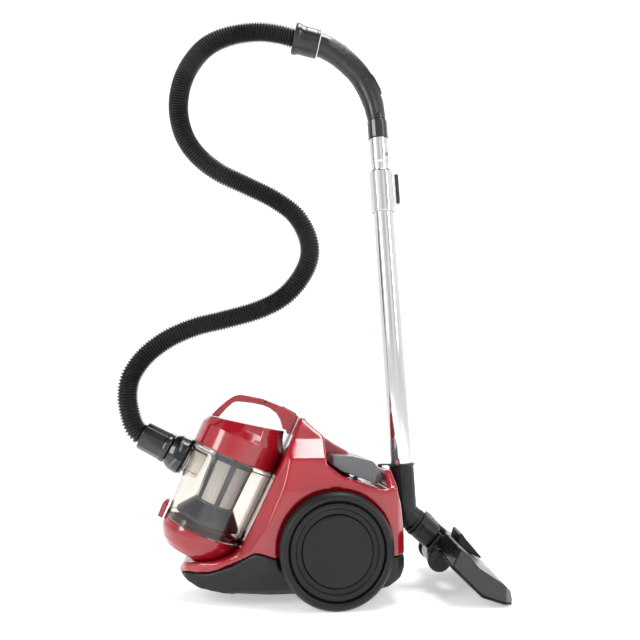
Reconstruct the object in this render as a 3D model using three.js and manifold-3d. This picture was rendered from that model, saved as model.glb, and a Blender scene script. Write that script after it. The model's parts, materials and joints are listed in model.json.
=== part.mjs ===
// Canister vacuum cleaner with a clear dust bin, a ribbed hose, a telescopic wand and a floor nozzle.
// Millimetres, +Z up, +X towards the rear, where the wand is parked. The floor is Z = 0.
import * as THREE from 'three';
import { mergeVertices } from 'three/addons/utils/BufferGeometryUtils.js';
import Module from 'manifold-3d';

const wasm = await Module();
wasm.setup();

// ---- Driving dimensions ----
const GAP = 0.3;
const CENTRE_SHIFT = 15.2; // moves the wheel axle off the origin, so that the whole object is centred

const WHEEL = { radius: 85, inner: 97, outer: 123, bore: 5.3, groove: 71.6, dish: 60.5, cap: 52.5 };
const ARCH = { radius: 88, inner: 94.5 };
const CASTER = { x: -160, trail: 8, radius: 14, well: 23.5 };
const BODY = { half: 101, rear: 113 };
const BIN = { foot: [-200, 102], head: [-152, 214], low: 63, high: 69.7, wall: 3, tall: 121.85 };
const LID = { radius: 71.5, low: 122.4, edge: 156, top: 194, topRadius: 57 };
const BOWL = { radius: 64.6, drop: 43 };
const INLET = { height: 90, out: 62, bore: 18, turn: 4.4 };
const CONNECTOR = { start: 8.3, end: 38.6, radius: 30.6 };
const LOWER_CUFF = { start: 39, end: 87.5, near: 25, far: 22.5 };
const HOSE = { radius: 16.75, sides: 8, steps: 62 };
const WAND = { foot: [125.2, 200], lean: 3.36, radius: 17.5, bore: 16.2, low: -41, high: 437 };
const INNER_TUBE = { radius: 15.2, bore: 13.7, low: 100, swell: 521, high: 564.5, swellRadius: 16.8 };
const COLLAR = { radius: 20.6, low: 431, high: 506 };
const SOCKET = { radius: 17.8, low: 565, high: 597 };
const NECK = { radius: 20.5, rim: 23, bore: 17.9, throat: 16, ring: [148.3, 104] };
const SWIVEL = { radius: 22.3, length: 37, axis: [0.744, -0.668] };
const AXLE = { wheel: 19 };
const NOZZLE = { half: 130 };
const REEL = { x: 28, radius: 60, low: 133, high: 154.5 };
const MOTOR = { radius: 45, front: -74, z: 80 };
const PEDAL_TILT = 19.4;

// ---- Materials ----
const paint = (color, roughness, metalness) => new THREE.MeshStandardMaterial({ color, roughness, metalness });
const RED = paint(0xa32a34, 0.16, 0);
const BLACK = paint(0x1c1d20, 0.55, 0);
const GLOSS_BLACK = paint(0x16171a, 0.25, 0);
const RUBBER = paint(0x17171a, 0.8, 0);
const CHROME = paint(0xc4c6c9, 0.12, 1);
const STEEL = paint(0x8d8f92, 0.35, 1);
const GREY = paint(0x77787c, 0.35, 0.2);
const CLEAR = paint(0xe6e2dc, 0.05, 0);
const NAVY = paint(0x1d2a44, 0.4, 0);
const CLOTH = paint(0xe3ded8, 0.9, 0);

// ---- Solids ----
// Every shape below is a closed BufferGeometry. An inside-out one is turned the right way round.
function tidy(geometry) {
  const bare = geometry.clone();
  bare.deleteAttribute('normal');
  bare.deleteAttribute('uv');
  const merged = mergeVertices(bare, 1e-4);
  const spots = merged.attributes.position;
  const [a, b, c] = [new THREE.Vector3(), new THREE.Vector3(), new THREE.Vector3()];
  const faces = [];
  let volume = 0;
  for (let i = 0; i < merged.index.count; i += 3) {
    const face = [0, 1, 2].map((corner) => merged.index.getX(i + corner));
    if (new Set(face).size < 3) continue;
    [a, b, c].forEach((point, corner) => point.fromBufferAttribute(spots, face[corner]));
    volume += a.dot(b.cross(c));
    faces.push(face);
  }
  const turned = volume < 0 ? faces.map(([p, q, r]) => [p, r, q]) : faces;
  return { vertProperties: new Float32Array(spots.array), triVerts: new Uint32Array(turned.flat()) };
}

function solid(geometry) {
  return new wasm.Manifold(new wasm.Mesh({ numProp: 3, ...tidy(geometry) }));
}

function geometryOf(body) {
  const mesh = body.getMesh();
  const geometry = new THREE.BufferGeometry();
  geometry.setAttribute('position', new THREE.BufferAttribute(mesh.vertProperties, 3));
  geometry.setIndex(new THREE.BufferAttribute(mesh.triVerts, 1));
  return geometry;
}

function join(first, ...others) {
  return geometryOf(others.reduce((sum, other) => sum.add(solid(other)), solid(first)));
}

function cut(first, ...tools) {
  return geometryOf(tools.reduce((rest, tool) => rest.subtract(solid(tool)), solid(first)));
}

function common(first, ...others) {
  return geometryOf(others.reduce((rest, other) => rest.intersect(solid(other)), solid(first)));
}

function outline(points) {
  return new THREE.Shape(points.map(([x, y]) => new THREE.Vector2(x, y)));
}

// An XY outline between two heights.
function planPrism(points, low, high) {
  const geometry = new THREE.ExtrudeGeometry(outline(points), { depth: high - low, bevelEnabled: false });
  return geometry.translate(0, 0, low);
}

// An XZ outline between two Y positions.
function sidePrism(points, near, far) {
  return planPrism(points, 0, far - near).rotateX(Math.PI / 2).translate(0, far, 0);
}

// A YZ outline between two X positions.
function frontPrism(points, front, rear) {
  const toFront = new THREE.Matrix4().makeBasis(
    new THREE.Vector3(0, 1, 0), new THREE.Vector3(0, 0, 1), new THREE.Vector3(1, 0, 0));
  return planPrism(points, front, rear).applyMatrix4(toFront);
}

// A [radius, height] profile turned about +Z. It starts and ends on the axis or closes on itself.
function turned(profile, segments = 20) {
  const points = profile.map(([radius, height]) => new THREE.Vector2(radius, height));
  return new THREE.LatheGeometry(points, segments).rotateX(Math.PI / 2);
}

function rod(radius, low, high, segments = 14) {
  return turned([[0, low], [radius, low], [radius, high], [0, high]], segments);
}

function pipe(inner, outer, low, high, segments = 20) {
  return turned([[inner, low], [outer, low], [outer, high], [inner, high], [inner, low]], segments);
}

function block(x, y, z, wide, deep, tall) {
  return new THREE.BoxGeometry(wide, deep, tall).translate(x, y, z);
}

const alongX = (geometry) => geometry.rotateY(Math.PI / 2);
const alongY = (geometry) => geometry.rotateX(-Math.PI / 2);
const mirrored = (points) => [...points, ...points.slice().reverse().map(([x, y]) => [-x, y])];
const mirroredPlan = (points) => [...points, ...points.slice().reverse().map(([x, y]) => [x, -y])];

// Bends a straight shape that stands on +Z so that its axis follows a curve in the XZ plane.
function bend(geometry, curve) {
  const spots = geometry.attributes.position;
  const length = curve.getLength();
  for (let i = 0; i < spots.count; i += 1) {
    const along = Math.min(Math.max(spots.getZ(i) / length, 0), 1);
    const centre = curve.getPointAt(along);
    const ahead = curve.getTangentAt(along);
    const side = new THREE.Vector3(ahead.z, 0, -ahead.x).multiplyScalar(spots.getX(i));
    spots.setXYZ(i, centre.x + side.x, spots.getY(i), centre.z + side.z);
  }
  return geometry;
}

function curveThrough(points) {
  const spots = points.map(([x, z]) => new THREE.Vector3(x, 0, z));
  return new THREE.CatmullRomCurve3(spots, false, 'centripetal');
}

// ---- Scene graph ----
const vacuum = new THREE.Group();
vacuum.position.x = CENTRE_SHIFT;

function add(parent, name, geometry, material) {
  const mesh = new THREE.Mesh(geometryOf(solid(geometry)), material);
  mesh.name = name;
  parent.add(mesh);
  return mesh;
}

function tiltedGroup(parent, [x, z], degrees) {
  const group = new THREE.Group();
  group.position.set(x, 0, z);
  group.rotation.y = THREE.MathUtils.degToRad(degrees);
  parent.add(group);
  return group;
}

const binTilt = THREE.MathUtils.radToDeg(Math.atan2(BIN.head[0] - BIN.foot[0], BIN.head[1] - BIN.foot[1]));
const toBinPlace = (geometry) => geometry
  .rotateY(THREE.MathUtils.degToRad(binTilt)).translate(BIN.foot[0], 0, BIN.foot[1]);
const toWandPlace = (geometry) => geometry
  .rotateY(THREE.MathUtils.degToRad(-WAND.lean)).translate(WAND.foot[0], 0, WAND.foot[1]);

// ---- Body: red housing over a black base pan ----
// The seam between them, from the front lip over a hump beside the wheels to the rear edge.
const SEAM = [[-233, 38], [-224, 44.5], [-188, 47], [-154, 58.5], [-134, 71], [-120, 79.5],
  [-104, 77], [-88, 72], [113, 69.5]];
const HOUSING_TOP = [[109, 107], [103, 147], [97, 166], [95.5, 195.5], [75, 196.5], [55, 207], [31, 222],
  [10, 233.5], [-10, 247], [-28, 262], [-44, 277.5], [-48.7, 277], [-143, 78], [-155, 70], [-178, 63],
  [-205, 61], [-227, 57.5], [-236, 47]];
const PAN_BOTTOM = [[108, 50], [98, 34], [85, 22], [60, 13], [-95, 13], [-145, 18], [-175, 19.5],
  [-202, 24], [-219, 31], [-230, 37]];
const PLAN = mirroredPlan([[-237, 0], [-234, 20], [-224, 42], [-205, 58], [-175, 70], [-140, 84],
  [-100, BODY.half], [72, BODY.half], [96, 96], [108, 82], [BODY.rear, 60], [BODY.rear + 1, 0]]);
// Seen along the bin's axis: the lip, the bin's corners and the chamfers behind them.
const CHAMFER_PLAN = mirroredPlan([[-40, 0], [-40, 60], [62, 72], [83, BODY.half], [400, BODY.half], [400, 0]]);
const FRONT_VIEW = mirrored([[102, 0], [102, 165], [98, 190], [91, 216], [62, 243], [30, 284], [22, 320]]);

const PAN_FRONT_VIEW = mirrored([[102, 100], [102, 66], [93, 44], [80, 24], [66, 12], [66, 0]]);

function bothSides(make) {
  return [make(1), make(-1)];
}

function sideBand(points, low, high, side) {
  return side > 0 ? sidePrism(points, low, high) : sidePrism(points, -high, -low);
}

function wheelWell(side) {
  const well = alongY(rod(ARCH.radius, 0, 60, 32));
  const start = side > 0 ? ARCH.inner : -ARCH.inner - 60;
  return well.translate(0, start, WHEEL.radius);
}

// Room for the bin, its bowl and its lid, a little larger than they are.
function binRoom() {
  const room = 2.2;
  const profile = [[0, -BOWL.drop - room], [34, -BOWL.drop - room], [50, -38], [60, -27], [66.8, -14],
    [66.8, 0], [BIN.high + room, BIN.tall], [LID.radius + room, BIN.tall + 1],
    [LID.radius + room, 260], [0, 260]];
  const hinge = block(67, 0, 0, 18, 46, 36);
  return [toBinPlace(turned(profile, 28)), toBinPlace(hinge)];
}

function pedalRoom() {
  const overSlope = [[-12, 320], [-12, 208], [11, 190.5], [69, 170.3], [83, 170.3], [83, 320]];
  const rearCorner = [[52, 230], [52, 200], [104, 168], [140, 168], [140, 230]];
  const rooms = bothSides((side) => sideBand(overSlope, 26.5, 120, side));
  const corners = bothSides((side) => frontPrism(rearCorner.map(([y, z]) => [side * y, z]), 60, 140));
  const behindSpine = sidePrism([[33, 320], [33, 183], [69, 170.3], [83, 170.3], [83, 320]], -27, 27);
  return [...rooms, ...corners, behindSpine];
}

// The hollow for the motor and the cord reel, open at the bottom.
function housingHollow() {
  const middle = [[-110, 40], [-104, 100], [-57, 208], [-36, 232], [-18, 209], [12, 184], [66, 163.5],
    [91, 163.5], [97, 140], [106, 76], [106, 40]];
  const wide = [[-66, 40], [-66, 150], [-48, 186], [12, 180], [66, 159], [88, 150], [98, 76], [98, 40]];
  return [sidePrism(middle, -64, 64), sidePrism(wide, -90, 90)];
}

// Pedal stems pass through bosses whose wells hold the return springs.
const PEDAL_SPOT = { x: 40, y: 50, z: 186 };

function alongPedalNormal(geometry, side) {
  return geometry.rotateY(THREE.MathUtils.degToRad(PEDAL_TILT))
    .translate(PEDAL_SPOT.x, side * PEDAL_SPOT.y, PEDAL_SPOT.z);
}

function upperHousing() {
  const profile = [...SEAM.map(([x, z]) => [x, z + GAP]), ...HOUSING_TOP];
  const chamfer = toBinPlace(planPrism(CHAMFER_PLAN, -220, 320));
  const shell = common(sidePrism(profile, -BODY.half, BODY.half), planPrism(PLAN, -5, 330), chamfer,
    frontPrism(FRONT_VIEW, -260, 130));
  const wells = bothSides(wheelWell);
  const hollow = cut(shell, ...wells, ...binRoom(), ...pedalRoom(), ...housingHollow());
  const bosses = bothSides((side) => alongPedalNormal(rod(11, -22, -6, 16), side));
  const springWells = bothSides((side) => alongPedalNormal(rod(7.5, -14, 4, 14), side));
  const stemHoles = bothSides((side) => alongPedalNormal(rod(3.6, -30, 0, 10), side));
  const axleHoles = alongY(rod(5.3, -130, 130, 16)).translate(0, 0, WHEEL.radius);
  const exhaust = block(108, 0, 111, 30, 84, 66);
  const coverSeat = sidePrism([[96, 150.5], [125, 150.5], [125, 72], [111.4, 72]], -50.5, 50.5);
  const parkingSlot = block(88.6, 0, 185, 5.2, 20, 60);
  const cordHole = alongX(rod(6.3, 80, 130, 14)).translate(0, 66, 92);
  const duct = toBinPlace(alongX(rod(17, 55, 100, 20)).translate(0, 0, 148));
  const wandRoom = toWandPlace(rod(NECK.radius + 1.2, -170, 60, 20));
  return cut(join(hollow, ...bosses), ...springWells, ...stemHoles, axleHoles, exhaust, coverSeat,
    parkingSlot, cordHole, duct, wandRoom);
}

function basePan() {
  const profile = [...SEAM, ...PAN_BOTTOM];
  const shell = common(sidePrism(profile, -BODY.half, BODY.half), planPrism(PLAN, -5, 330),
    frontPrism(PAN_FRONT_VIEW, -260, 130));
  const middle = [[-112, 100], [-112, 22], [-95, 17], [58, 17], [82, 26], [94, 38], [104, 54], [107, 100]];
  const wide = [[-62, 100], [-62, 50], [96, 50], [98, 100]];
  const casterWell = rod(CASTER.well, -20, 33, 24).translate(CASTER.x, 0, 0);
  const axleHoles = alongY(rod(5.3, -130, 130, 16)).translate(0, 0, WHEEL.radius);
  const casterHole = rod(4.3, 0, 44, 10).translate(CASTER.x, 0, 0);
  return cut(shell, ...bothSides(wheelWell), ...binRoom(), sidePrism(middle, -64, 64),
    sidePrism(wide, -90, 90), casterWell, axleHoles, casterHole);
}

add(vacuum, 'upper_housing', upperHousing(), RED);
add(vacuum, 'base_pan', basePan(), BLACK);

// ---- Exhaust, cord outlet and duct seal ----
function exhaustCover() {
  const plate = sidePrism([[104.7, 150], [107.2, 150], [115.2, 72.5], [112.7, 72.5]]
    .map(([x, z]) => [x - 1.2, z]), -50, 50);
  const slots = [];
  for (let row = 0; row < 7; row += 1) {
    const z = 84 + row * 9;
    slots.push(block(108, -31, z, 30, 26, 4), block(108, 31, z, 30, 26, 4));
  }
  return cut(plate, ...slots, toWandPlace(rod(NECK.radius + 1, -170, 60, 20)));
}

add(vacuum, 'exhaust_cover', exhaustCover(), BLACK);
add(vacuum, 'exhaust_filter', block(94.5, 0, 110, 9, 80, 62), CLOTH);
add(vacuum, 'cord_outlet', alongX(pipe(3.2, 6, 88, 112, 14)).translate(0, 66, 92), BLACK);
const ductSeal = toBinPlace(alongX(pipe(12.5, 16.6, 74.2, 84, 16)).translate(0, 0, 148));
add(vacuum, 'duct_seal', ductSeal, RUBBER);

// ---- Motor and cord reel ----
function motor() {
  const can = turned([[8, 0], [38, 0], [MOTOR.radius, 6], [MOTOR.radius, 70], [36, 80], [30, 104], [12, 104],
    [12, 98], [26, 98], [30, 76], [MOTOR.radius - 4, 64], [MOTOR.radius - 4, 10], [8, 5], [8, 0]], 14);
  return alongX(can).translate(MOTOR.front, 0, MOTOR.z);
}

function impeller() {
  const disc = turned([[0, -9], [40, -9], [42, -2.5], [5, -2.5], [5, 60], [0, 60]], 14);
  return alongX(disc).translate(MOTOR.front, 0, MOTOR.z);
}

add(vacuum, 'motor_housing', motor(), STEEL);
add(vacuum, 'motor_fan', impeller(), STEEL);
const motorRing = alongX(pipe(MOTOR.radius + 0.8, 56, 26, 42, 14)).translate(MOTOR.front, 0, MOTOR.z);
add(vacuum, 'motor_mount', motorRing, RUBBER);

const spool = turned([[7, REEL.low], [REEL.radius, REEL.low], [REEL.radius, REEL.low + 2.5],
  [26, REEL.low + 2.5], [26, REEL.high - 2.5], [REEL.radius, REEL.high - 2.5], [REEL.radius, REEL.high],
  [7, REEL.high], [7, REEL.low]], 20);
add(vacuum, 'cord_reel', spool.translate(REEL.x, 0, 0), GREY);
add(vacuum, 'reel_axle', rod(6.7, REEL.low - 1, REEL.high + 7.5, 14).translate(REEL.x, 0, 0), STEEL);

// ---- Pedals, their springs and switch ----
function pedal(side) {
  const top = [[-7.8, 210], [-0.5, 220.5], [30, 218.5], [63.4, 209.8], [79.5, 188.6], [79.3, 176],
    [67.9, 176], [13, 195.3]];
  const plate = sideBand(top, 3, 74, side);
  const plan = [[-9, 27.8], [34.5, 27.8], [34.5, 3], [81, 3], [81, 62], [66, 74], [0, 74], [-9, 60]];
  const area = planPrism(plan.map(([x, y]) => [x, side * y]), 150, 240);
  const stem = alongPedalNormal(rod(3.2, -27, 8, 10), side);
  return join(common(plate, area), stem);
}

function returnSpring(side) {
  const turns = 3;
  const [low, high] = [-13.2, -1.2];
  class Helix extends THREE.Curve {
    getPoint(t, target = new THREE.Vector3()) {
      const angle = 2 * Math.PI * turns * t;
      return target.set(5.6 * Math.cos(angle), 5.6 * Math.sin(angle), low + (high - low) * t);
    }
  }
  const wire = new THREE.Shape().absarc(0, 0, 0.6, 0, 2 * Math.PI, false);
  const section = new THREE.Shape(wire.getPoints(4).slice(0, 4));
  const coil = new THREE.ExtrudeGeometry(section, { steps: 32, extrudePath: new Helix() });
  return alongPedalNormal(coil, side);
}

add(vacuum, 'power_pedal', pedal(-1), GREY);
add(vacuum, 'rewind_pedal', pedal(1), GREY);
add(vacuum, 'power_spring', returnSpring(-1), STEEL);
add(vacuum, 'rewind_spring', returnSpring(1), STEEL);

// ---- Main wheels and the front caster ----
function onSide(geometry, side) {
  const facing = alongY(geometry);
  return (side > 0 ? facing : facing.rotateZ(Math.PI)).translate(0, 0, WHEEL.radius);
}

function mainWheel(side) {
  const { radius, inner, outer, bore, groove, dish, cap } = WHEEL;
  const profile = [[bore, inner + 0.5], [22, inner + 0.5], [24, inner + 4], [78, inner + 4], [81, inner],
    [radius, inner + 3], [radius, outer - 4], [radius - 3, outer - 0.7], [groove + 1.3, outer],
    [groove, outer - 1.5], [groove - 1.3, outer], [dish + 1, outer - 0.6], [dish, outer - 3.4],
    [cap + 0.4, outer - 3.4], [cap + 0.4, outer - 11], [bore, outer - 11], [bore, inner + 0.5]];
  return onSide(turned(profile, 32), side);
}

for (const side of [-1, 1]) {
  const name = side < 0 ? 'left' : 'right';
  add(vacuum, `${name}_wheel`, mainWheel(side), RUBBER);
  const cap = rod(WHEEL.cap, WHEEL.outer - 10.6, WHEEL.outer - 2, 24);
  add(vacuum, `${name}_hub_cap`, onSide(cap, side), BLACK);
  const axle = turned([[0, 82], [9, 82], [9, 89.6], [5, 89.6], [5, 111.6], [0, 111.6]], 8);
  add(vacuum, `${name}_axle`, onSide(axle, side), STEEL);
}

function casterFork() {
  const crown = rod(21, 28.6, 32.4, 20);
  const stem = rod(4, 32, 43, 10);
  const cheeks = bothSides((side) => sideBand([[-8, 30], [-3, 9], [9, 8], [15, 14], [12, 30]],
    8.4, 11, side));
  const pinHole = alongY(rod(2.3, -30, 30, 8)).translate(CASTER.trail, 0, CASTER.radius);
  return cut(join(crown, stem, ...cheeks), pinHole);
}

function casterWheel() {
  const { radius } = CASTER;
  return alongY(turned([[2.4, -7.6], [radius - 2, -7.6], [radius, -5.6], [radius, 5.6], [radius - 2, 7.6],
    [2.4, 7.6], [2.4, -7.6]], 20)).translate(CASTER.trail, 0, radius);
}

const caster = tiltedGroup(vacuum, [CASTER.x, 0], 0);
add(caster, 'caster_fork', casterFork(), BLACK);
add(caster, 'caster_wheel', casterWheel(), RUBBER);
add(caster, 'caster_pin', alongY(rod(2, -11, 11, 8)).translate(CASTER.trail, 0, CASTER.radius), STEEL);

// ---- Dust bin, upright on its own axis before it is tilted ----
const bin = tiltedGroup(vacuum, BIN.foot, binTilt);
const inletAngle = -90 + INLET.turn;
const toInlet = (geometry) => geometry
  .rotateY(THREE.MathUtils.degToRad(inletAngle)).translate(-INLET.out, 0, INLET.height);

function binCylinder() {
  const { low, high, wall, tall } = BIN;
  const shell = turned([[low - wall, GAP], [low + 1.4, GAP], [low + 1.6, 4], [low + 0.2, 5.5],
    [high - 0.3, tall - 8], [high + 1.4, tall - 7], [high + 1.4, tall], [high - wall, tall],
    [low - wall, GAP]], 24);
  const ears = bothSides((side) => sideBand([[-61, 9], [-73.5, 9], [-73.5, 20], [-61, 24]], 11.6, 14, side));
  const knuckles = bothSides((side) => sideBand([[61.5, 1], [65.3, 1], [65.3, -9], [71, -9], [71, 5],
    [61.5, 6]], 10, 20, side));
  const pinHole = alongY(rod(2.06, -30, 30, 10)).translate(68.2, 0, -5.5);
  const latchHole = alongY(rod(1.8, -30, 30, 8)).translate(-70, 0, 14);
  const inletHole = toInlet(rod(23.5, -30, 30, 16));
  const inletFlat = toInlet(rod(33, 5.9, 40, 16));
  return cut(join(shell, ...ears, ...knuckles), pinHole, latchHole, inletHole, inletFlat);
}

function bottomFlap() {
  const { radius, drop } = BOWL;
  const bowl = turned([[0, -drop], [32, -drop], [47, -38.5], [57, -29], [62.5, -19], [radius, -12],
    [radius, -GAP], [radius - 5, -GAP], [radius - 6, -12], [53, -26], [44, -34.5], [30, -39],
    [0, -39]], 24);
  const knuckle = sidePrism([[59, -2], [60, -10], [71, -9.5], [71, -2]], -9.6, 9.6);
  return cut(join(bowl, knuckle), alongY(rod(2.3, -30, 30, 10)).translate(68.2, 0, -5.5));
}

function flapLatch() {
  const lever = sidePrism([[-66.6, 21], [-72, 21], [-75.5, 14], [-74.5, -8], [-66.2, -9], [-66.2, 4]], -11, 11);
  const trunnions = alongY(rod(1.5, -13.8, 13.8, 8)).translate(-70, 0, 14);
  return join(lever, trunnions);
}

add(bin, 'bin_cylinder', binCylinder(), CLEAR);
add(bin, 'bottom_flap', bottomFlap(), RED);
add(bin, 'flap_hinge_pin', alongY(rod(2, -20, 20, 10)).translate(68.2, 0, -5.5), STEEL);
add(bin, 'flap_latch', flapLatch(), RED);

function binLid() {
  const { radius, low, edge, top, topRadius } = LID;
  const cap = turned([[0, edge + 2], [60, edge + 2], [radius - 5, edge - 8], [radius - 5, low],
    [radius, low], [radius, edge], [61, edge + 22], [topRadius, top], [0, top]], 24);
  const underTop = sidePrism([[-90, 100], [90, 100], [90, 197.1], [-90, 161.7]], -80, 80);
  return cut(common(cap, underTop), alongX(rod(16, 40, 100, 20)).translate(0, 0, 148));
}

function filterCage() {
  const shell = turned([[0, 8], [32.4, 8], [32.6, 44], [36.5, 110], [37, 119], [37, 157.6], [34, 157.6],
    [34, 119], [33.5, 110], [29.6, 44], [29.4, 11], [0, 11]], 16);
  const windows = [];
  for (let bar = 0; bar < 6; bar += 1) {
    const window = block(32, 0, 77, 30, 25, 66).rotateZ((bar + 0.5) * Math.PI / 3 - 1.45);
    windows.push(window);
  }
  return cut(shell, ...windows);
}

add(bin, 'bin_lid', binLid(), RED);
add(bin, 'filter_cage', filterCage(), NAVY);
const meshCup = turned([[0, 42], [28.4, 42], [32.4, 114], [30.4, 114], [26.6, 44.5], [0, 44.5]], 14);
add(bin, 'filter_mesh', meshCup, CLOTH);
const skirt = turned([[33.2, 40], [35, 40], [53, 18], [53, 13], [51, 13], [33.2, 35], [33.2, 40]], 20);
add(bin, 'cone_skirt', skirt, BLACK);

// The handle is drawn in its place: an arch from the lid's front to a broad foot against the body.
function carryHandle() {
  const arch = sidePrism([[-191, 280.7], [-180, 292.5], [-166, 304.5], [-154.6, 312], [-147, 313.8],
    [-137.4, 313.4], [-107.6, 307.4], [-80.7, 296.7], [-72, 285], [-74.7, 258], [-76, 265], [-79, 273],
    [-87.3, 285.3], [-96, 292], [-107.5, 296.8], [-126, 300.6], [-144.8, 302.7], [-152, 302.6],
    [-156, 301], [-166, 292], [-178.8, 278.1]], -11, 11);
  const foot = sidePrism([[-88, 288], [-80.7, 296.7], [-49.8, 279.3], [-50.4, 276.6], [-61.8, 250.5],
    [-68.6, 250.5], [-69.4, 257], [-75.2, 258.5], [-79, 273]], -20, 20);
  const pocket = block(0, 0, 1.5, 27.6, 19.4, 17).rotateY(THREE.MathUtils.degToRad(28.2))
    .translate(-64, 0, 287.7);
  return cut(join(arch, foot), pocket);
}

add(vacuum, 'carry_handle', carryHandle(), RED);
const buttonSeat = tiltedGroup(vacuum, [-64, 287.7], 28.2);
add(buttonSeat, 'bin_release_button', block(0, 0, -1.2, 26.4, 18.2, 6), GREY);

// ---- Inlet port, hose connector and lower cuff on the bin's front ----
const inlet = tiltedGroup(bin, [-INLET.out, INLET.height], inletAngle);
const port = turned([[INLET.bore, -20], [23, -20], [23, 6.3], [28.5, 6.3], [28.5, 7.9], [INLET.bore, 7.9],
  [INLET.bore, -20]], 24);
add(inlet, 'inlet_port', port, BLACK);

function hoseConnector() {
  const { start, end, radius } = CONNECTOR;
  const shell = turned([[15, -8], [17.6, -8], [17.6, start], [28, start], [radius, start + 3],
    [radius, start + 9], [29.5, start + 19], [24.6, end], [15, end], [15, -8]], 20);
  const pockets = bothSides((side) => block(0, side * 30, 19, 13, 15, 16));
  return cut(shell, ...pockets);
}

add(inlet, 'hose_connector', hoseConnector(), GLOSS_BLACK);
add(inlet, 'left_hose_button', block(0, -28.6, 19, 12, 6.4, 15), BLACK);
add(inlet, 'right_hose_button', block(0, 28.6, 19, 12, 6.4, 15), BLACK);
const { start: cuffStart, end: cuffEnd, near: cuffNear, far: cuffFar } = LOWER_CUFF;
const lowerCuff = turned([[14, cuffStart], [cuffNear, cuffStart], [cuffNear, cuffStart + 8],
  [cuffFar, cuffStart + 12], [cuffFar, cuffEnd], [14, cuffEnd], [14, cuffStart]], 20);
add(inlet, 'lower_cuff', lowerCuff, GLOSS_BLACK);

// ---- Hose: one free length from the lower cuff up to the grip's cuff ----
// Route of its centreline, [X, Z] in the plane Y = 0, from the lower cuff to the upper one.
const HOSE_ROUTE = [[-299.45, 249.88], [-304, 252.3], [-312.5, 262.5], [-320, 282], [-325.2, 311], [-321, 342], [-300.4, 375],
  [-263.8, 405], [-221, 425], [-171.5, 438.5], [-111.8, 457.3], [-73.3, 479.5], [-46.2, 510.7],
  [-30.8, 545], [-31.5, 577], [-52, 618], [-88, 646], [-138, 670], [-184, 691], [-218.4, 716],
  [-241.8, 746], [-253.6, 779], [-256.9, 810.5], [-252, 848], [-237.4, 883.7], [-211, 918],
  [-172.9, 939.6], [-124, 950.5], [-88, 949.4], [-59.3, 943.75]];

function circleOutline(radius, sides) {
  const spots = [];
  for (let i = 0; i < sides; i += 1) {
    const angle = 2 * Math.PI * (i + 0.5) / sides;
    spots.push([radius * Math.cos(angle), radius * Math.sin(angle)]);
  }
  return outline(spots);
}

const hosePath = curveThrough(HOSE_ROUTE);
const hose = new THREE.ExtrudeGeometry(circleOutline(HOSE.radius, HOSE.sides),
  { steps: HOSE.steps, extrudePath: hosePath });
add(vacuum, 'hose', hose, BLACK);

// ---- Grip with its cuff, slider and socket ----
const upperCuff = tiltedGroup(vacuum, [-13.7, 934.1], -78.1);
const cuffShell = turned([[14, 0.6], [24.5, 0.6], [24.5, 33], [27, 39], [27, 46.2], [14, 46.2], [14, 0.6]]);
add(upperCuff, 'upper_cuff', cuffShell, BLACK);

// [radius, place along the grip from 0 to 1]; the wall is 4 mm thick.
function bentShell(curve, stations, wall) {
  const length = curve.getLength();
  const outside = stations.map(([radius, along]) => [radius, along * length]);
  const inside = outside.map(([radius, height]) => [radius - wall, height]).reverse();
  return bend(turned([...outside, ...inside, outside[0]], 20), curve);
}

function grip() {
  const curve = curveThrough([[89.9, 797.6], [87.6, 812], [82.4, 834], [59.6, 880.4], [24.3, 914.9],
    [6, 926.3], [-5, 931.7], [-9, 932.9], [-13.3, 933.85]]);
  const stations = [[15.7, 0], [15.7, 0.14], [16.1, 0.3], [17, 0.46], [18, 0.62], [19.1, 0.78], [19.8, 0.9],
    [20.2, 1]];
  const sliderSeat = block(7, 0, 8.6, 52, 15.4, 20).rotateY(THREE.MathUtils.degToRad(63.2))
    .translate(88.2, 0, 864.5);
  return cut(bentShell(curve, stations, 4), sliderSeat);
}

add(vacuum, 'grip', grip(), BLACK);
const sliderSeat = tiltedGroup(vacuum, [88.2, 864.5], 63.2);
add(sliderSeat, 'suction_slider', block(0, 0, 0.8, 27, 14, 4), GREY);

// ---- Telescopic wand, upright on its own axis before it leans ----
const wand = tiltedGroup(vacuum, WAND.foot, -WAND.lean);

function gripSocket() {
  const { radius, low, high } = SOCKET;
  const shell = turned([[11, 525], [15.1, 525], [15.1, low], [radius, low], [radius, high], [11, high],
    [11, 525]], 16);
  return cut(shell, pinPlace(rod(3.6, 0, 30, 8)));
}

// The snap pin looks forward and to the left through the tube's swollen end.
function pinPlace(geometry) {
  return alongX(geometry).rotateZ(-0.93).translate(0, 0, 533);
}

function innerTube() {
  const { radius, bore, low, swell, high, swellRadius } = INNER_TUBE;
  const tube = turned([[bore, low], [radius, low], [radius, swell - 2], [swellRadius, swell + 1],
    [swellRadius, high], [15.4, high], [15.4, swell + 2], [bore, swell - 2], [bore, low]], 16);
  return cut(tube, pinPlace(rod(3.7, 0, 30, 8)));
}

function telescopeCollar() {
  const { radius, low, high } = COLLAR;
  const shell = turned([[17.8, low], [radius, low], [radius, high - 3], [radius - 1, high], [15.6, high],
    [15.6, 438], [17.8, 437.4], [17.8, low]], 20);
  const rail = block(19, 0, 472, 7, 18, 60);
  const bore = rod(17.8, low - 5, 437.4, 20);
  const slot = block(26, 0, 472, 14.4, 13, 64);
  return cut(join(shell, rail), bore, rod(15.6, low, high + 5, 20), slot);
}

add(wand, 'grip_socket', gripSocket(), BLACK);
add(wand, 'snap_pin', pinPlace(rod(3.2, 12.8, 18.4, 8)), STEEL);
add(wand, 'inner_tube', innerTube(), CHROME);
add(wand, 'outer_tube', pipe(WAND.bore, WAND.radius, WAND.low, WAND.high, 20), CHROME);
add(wand, 'telescope_collar', telescopeCollar(), CHROME);
add(wand, 'lock_button', block(24.6, 0, 473, 10.6, 12, 52), BLACK);

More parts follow.
